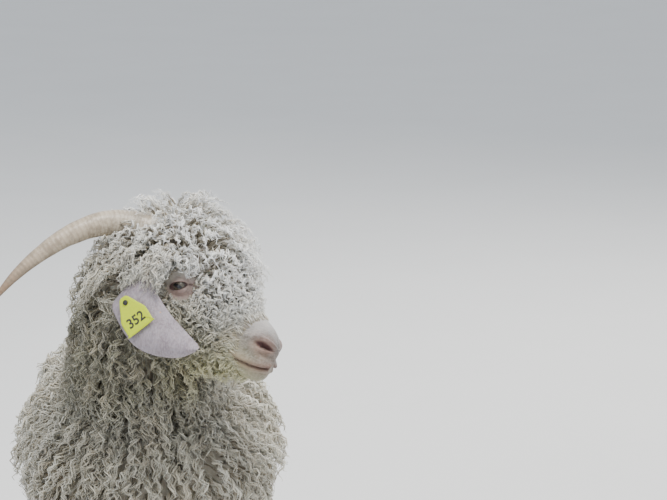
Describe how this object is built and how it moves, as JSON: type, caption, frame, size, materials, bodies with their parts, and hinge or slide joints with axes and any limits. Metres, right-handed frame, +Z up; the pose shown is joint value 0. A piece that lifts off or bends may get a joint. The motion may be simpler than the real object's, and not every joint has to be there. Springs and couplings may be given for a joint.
{
  "type": "angora goat",
  "caption": "Life-size still model of a standing angora goat with curly fleece, swept-back horns, hanging ears and a plain ear tag, its head turned to its left.",
  "frame": {"origin": "on the floor under the middle of the goat's bounding box", "axes": "+Z up; the body faces -Y with its rump towards +Y; +X is the goat's left, the side its head is turned to"},
  "size_m": [0.3883, 0.9653, 0.7776],
  "materials": {
    "fleece": "cream curly mohair fleece",
    "face": "short pale hair over pink skin, curly on the brow and cheeks",
    "ear": "pink skin under fine short hair",
    "horn": "cream-brown horn with fine rings",
    "hoof": "dark hoof horn",
    "eye": "wet, amber-grey iris",
    "tag": "yellow moulded plastic",
    "tag_back": "orange moulded plastic",
    "pin": "dark moulded plastic"
  },
  "bodies": {
    "root": {"head": "face", "neck": "fleece", "torso": "fleece", "tail": "fleece", "leg_front_left": "fleece", "leg_front_right": "fleece", "leg_hind_left": "fleece", "leg_hind_right": "fleece", "claw_front_left_outer": "hoof", "claw_front_left_inner": "hoof", "claw_front_right_outer": "hoof", "claw_front_right_inner": "hoof", "claw_hind_left_outer": "hoof", "claw_hind_left_inner": "hoof", "claw_hind_right_outer": "hoof", "claw_hind_right_inner": "hoof", "ear_left": "ear", "ear_right": "ear", "eye_left": "eye", "eye_right": "eye", "horn_left": "horn", "horn_right": "horn", "ear_tag_front": "tag", "ear_tag_back": "tag_back", "ear_tag_pin": "pin"}
  },
  "joints": []
}
